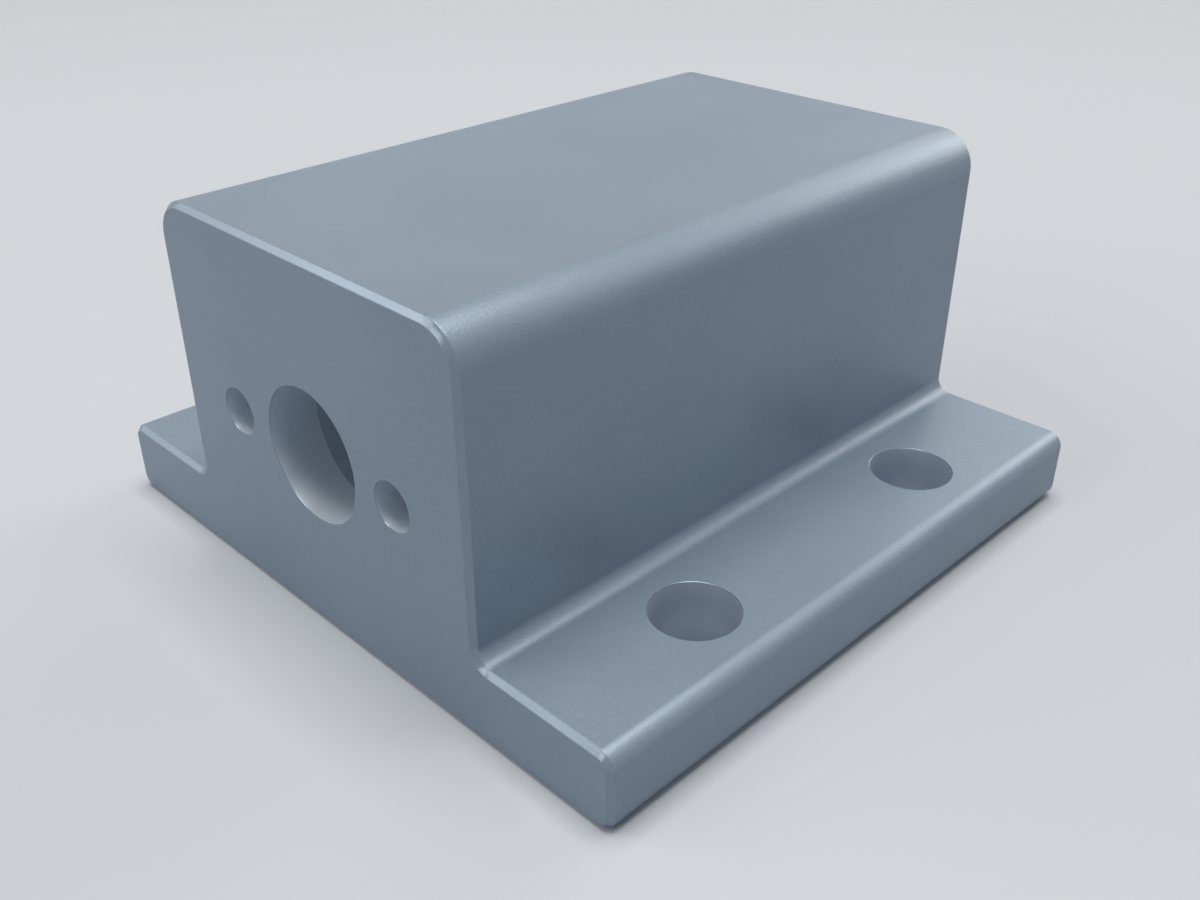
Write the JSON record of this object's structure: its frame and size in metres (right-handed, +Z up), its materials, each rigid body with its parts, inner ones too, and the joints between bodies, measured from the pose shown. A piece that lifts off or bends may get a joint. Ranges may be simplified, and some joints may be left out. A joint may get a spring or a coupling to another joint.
{
  "type": "motor mount",
  "caption": "Block-shaped motor mount: a hollow raised body, open at the rear, between bolting flanges, with a bore and screw holes in its front wall.",
  "frame": {"origin": "centre of the flat underside", "axes": "+X across the two flanges, +Y from the face with the bore towards the open rear, +Z up from the underside"},
  "size_m": [0.142, 0.135, 0.072],
  "materials": {
    "satin_metal": "satin blue-grey, finely blasted"
  },
  "bodies": {
    "root": {"mount_block": "satin_metal"}
  },
  "joints": []
}
